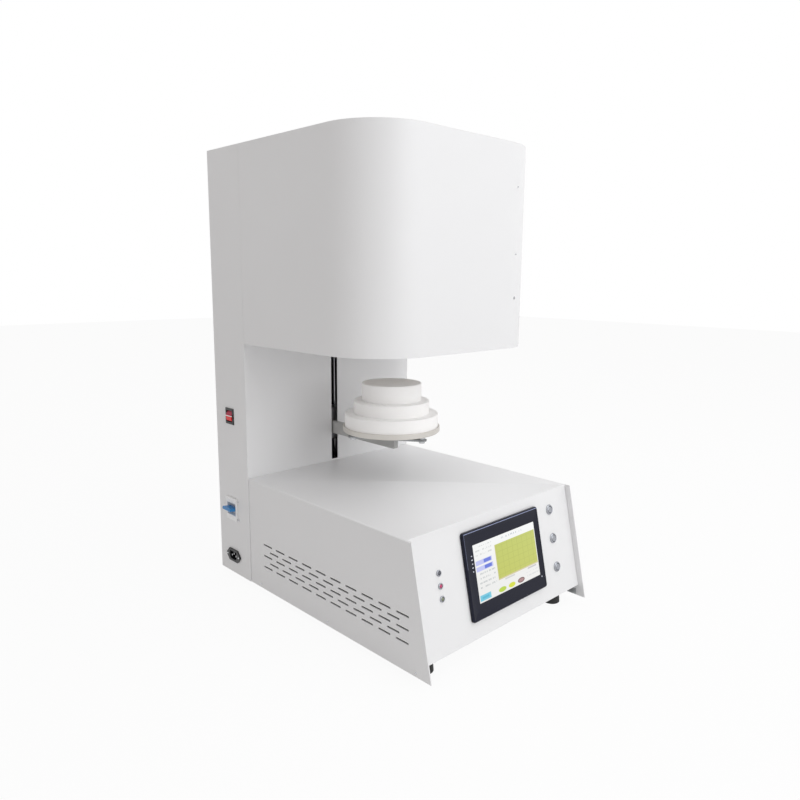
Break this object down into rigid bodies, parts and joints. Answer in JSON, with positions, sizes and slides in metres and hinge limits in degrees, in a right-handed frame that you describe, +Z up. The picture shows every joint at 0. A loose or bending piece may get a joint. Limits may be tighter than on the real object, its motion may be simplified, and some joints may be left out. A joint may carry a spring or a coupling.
{
  "type": "dental porcelain furnace",
  "caption": "Benchtop dental furnace: a stepped hearth on a screw-driven arm rises into a rounded hood above a sloping base with a touch screen, lamps and buttons.",
  "frame": {"origin": "on the table, under the middle of the overall box", "axes": "+X to the right, +Y to the back, +Z up"},
  "size_m": [0.435, 0.5918, 0.824],
  "materials": {
    "painted_sheet": "fine-textured warm white powder coat",
    "bare_sheet": "bare rolled steel",
    "steel": "machined steel",
    "ground_steel": "ground and polished",
    "aluminium": "milled",
    "hearth_fibre": "matt white fibre ceramic",
    "lining_fibre": "matt ceramic fibre blanket and board",
    "element": "dark silicide rod",
    "white_ceramic": "fired ceramic",
    "screen_frame": "dark navy gloss",
    "screen_glass": "lit display",
    "chrome": "bright plating",
    "lens": "tinted lens",
    "black_plastic": "black moulded",
    "red_plastic": "red moulded",
    "white_plastic": "white moulded",
    "blue_plastic": "blue moulded",
    "rubber": "black",
    "black_metal": "black paint",
    "brass": "machined",
    "core": "stacked laminations",
    "winding": "enamelled wire",
    "circuit_board": "solder mask"
  },
  "bodies": {
    "case": {"floor_plate": "bare_sheet", "rubber_feet": "rubber", "base_shell": "painted_sheet", "front_panel": "painted_sheet", "screen_housing": "screen_frame", "screen_glass": "screen_glass", "indicator_bezels": "chrome", "indicator_lenses": "lens", "button_bodies": "chrome", "column_left_side": "painted_sheet", "column_right_side": "painted_sheet", "column_front_panel": "painted_sheet", "column_rear_cover": "painted_sheet", "top_cover": "painted_sheet", "hood_wrap": "painted_sheet", "hood_bottom_plate": "painted_sheet", "furnace_casing": "bare_sheet", "casing_lid": "bare_sheet", "mouth_ring_lower": "lining_fibre", "mouth_ring_middle": "lining_fibre", "mouth_ring_upper": "lining_fibre", "chamber_insulation": "lining_fibre", "roof_insulation": "lining_fibre", "heating_elements": "element", "element_holders": "white_ceramic", "element_straps": "aluminium", "thermocouple": "white_ceramic", "lift_frame_plate": "bare_sheet", "lift_blocks": "aluminium", "guide_rails": "ground_steel", "lift_motor": "black_metal", "transformer_core": "core", "transformer_windings": "winding", "power_controller": "aluminium", "control_board": "circuit_board", "fan_frame": "black_plastic", "fan_guard": "ground_steel", "switch_bezel": "black_plastic", "breaker_body": "white_plastic", "inlet_body": "black_plastic", "inlet_pins": "ground_steel", "case_screws": "ground_steel"},
    "lift": {"lift_carriage": "aluminium", "linear_bearings": "ground_steel", "lift_nut": "brass", "lift_arm": "steel", "arm_bracket": "steel", "tray_studs": "ground_steel", "hearth_tray": "steel", "hearth_lower": "hearth_fibre", "hearth_middle": "hearth_fibre", "hearth_upper": "hearth_fibre"},
    "screw": {"lead_screw": "steel", "motor_coupling": "aluminium"},
    "button_top": {"button_cap_top": "steel"},
    "button_middle": {"button_cap_middle": "steel"},
    "button_bottom": {"button_cap_bottom": "steel"},
    "rocker": {"switch_rocker": "red_plastic"},
    "toggle": {"breaker_toggle": "blue_plastic"},
    "rotor": {"fan_rotor": "black_plastic"}
  },
  "joints": [
    {"name": "hearth_lift", "type": "slide", "parent": "case", "child": "lift", "axis": [0, 0, 1], "range_m": [-0.05, 0.151]},
    {"name": "screw_spin", "type": "hinge", "parent": "case", "child": "screw", "pos_m": [0.00753, 0.23515, 0.112], "axis": [0, 0, 1], "range_deg": [-1801, 5437]},
    {"name": "rocker_tilt", "type": "hinge", "parent": "case", "child": "rocker", "pos_m": [-0.19847, 0.24265, 0.3315], "axis": [0, -1, 0], "range_deg": [0, 20]},
    {"name": "toggle_tilt", "type": "hinge", "parent": "case", "child": "toggle", "pos_m": [-0.20047, 0.24465, 0.1455], "axis": [0, 1, 0], "range_deg": [-35, 35]},
    {"name": "fan_spin", "type": "hinge", "parent": "case", "child": "rotor", "pos_m": [0.00753, 0.27815, 0.7], "axis": [0, 1, 0], "continuous": true},
    {"name": "button_top_push", "type": "slide", "parent": "case", "child": "button_top", "axis": [0, 0.9772, -0.2124], "range_m": [0, 0.002], "stiffness_N_per_m": 400, "springref_m": -0.0005},
    {"name": "button_middle_push", "type": "slide", "parent": "case", "child": "button_middle", "axis": [0, 0.9772, -0.2124], "range_m": [0, 0.002], "stiffness_N_per_m": 400, "springref_m": -0.0005},
    {"name": "button_bottom_push", "type": "slide", "parent": "case", "child": "button_bottom", "axis": [0, 0.9772, -0.2124], "range_m": [0, 0.002], "stiffness_N_per_m": 400, "springref_m": -0.0005}
  ],
  "couplings": [
    {"joint": "screw_spin", "follows": "hearth_lift", "rad_per_m": 628.32}
  ]
}
